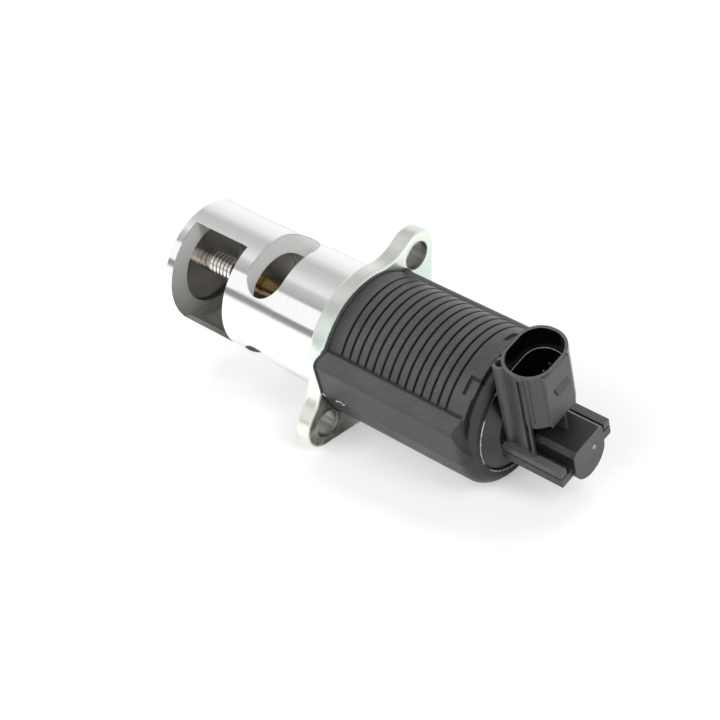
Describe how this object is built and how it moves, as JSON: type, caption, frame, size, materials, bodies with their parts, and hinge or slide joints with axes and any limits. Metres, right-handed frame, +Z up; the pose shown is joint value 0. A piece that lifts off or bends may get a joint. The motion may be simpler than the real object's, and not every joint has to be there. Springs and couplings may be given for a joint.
{
  "type": "exhaust gas recirculation valve",
  "caption": "Electric exhaust gas recirculation valve: windowed cartridge with a double-disc valve, two-bolt flange, ribbed solenoid housing and connector.",
  "frame": {"origin": "on the valve's axis, in the flange's mounting face", "axes": "+X along the axis towards the electrical connector, -X into the engine port, +Z up as the valve lies in the picture, with the connector leaning 16 degrees towards -Y"},
  "size_m": [0.1268, 0.0498, 0.0543],
  "materials": {
    "cartridge": "polished",
    "flange_steel": "satin",
    "steel": "turned",
    "soft_iron": "plain",
    "bronze": "plain",
    "copper": "enamelled",
    "pin_steel": "tinned",
    "housing_plastic": "fine grain",
    "cap_plastic": "smooth",
    "bobbin_plastic": "smooth",
    "dark_rubber": "plain"
  },
  "bodies": {
    "valve_body": {"cartridge_body": "cartridge", "guide_bush": "bronze", "stem_seal": "dark_rubber", "mounting_flange": "flange_steel", "pole_core": "soft_iron", "armature_sleeve": "steel", "coil_bobbin": "bobbin_plastic", "coil_winding": "copper", "yoke_can": "soft_iron", "yoke_end_plate": "soft_iron", "stop_shim": "bronze", "return_spring": "steel", "coil_housing": "housing_plastic", "housing_gasket": "dark_rubber", "sensor_cap": "cap_plastic", "cap_seal_ring": "dark_rubber", "terminal_pins": "pin_steel", "sensor_cover": "cap_plastic", "sensor_track": "bobbin_plastic", "sensor_spring": "steel"},
    "valve": {"valve_stem": "steel", "end_valve_disc": "steel", "inner_valve_disc": "steel", "end_disc_collar": "steel", "inner_disc_hub": "steel", "armature": "soft_iron", "spring_cup": "steel", "stem_clip": "steel"},
    "sensor_slider": {"wiper_carrier": "bobbin_plastic", "wiper_fingers": "bronze", "sensor_plunger": "bobbin_plastic"}
  },
  "joints": [
    {"name": "valve_lift", "type": "slide", "parent": "valve_body", "child": "valve", "axis": [-1, 0, 0], "range_m": [0, 0.0055], "stiffness_N_per_m": 1500, "springref_m": -0.004, "deforming": ["return_spring"]},
    {"name": "sensor_travel", "type": "slide", "parent": "valve_body", "child": "sensor_slider", "axis": [-1, 0, 0], "range_m": [0, 0.0055], "stiffness_N_per_m": 100, "springref_m": 0.008, "deforming": ["sensor_spring"]}
  ],
  "couplings": [
    {"joint": "sensor_travel", "follows": "valve_lift", "ratio": 1}
  ]
}
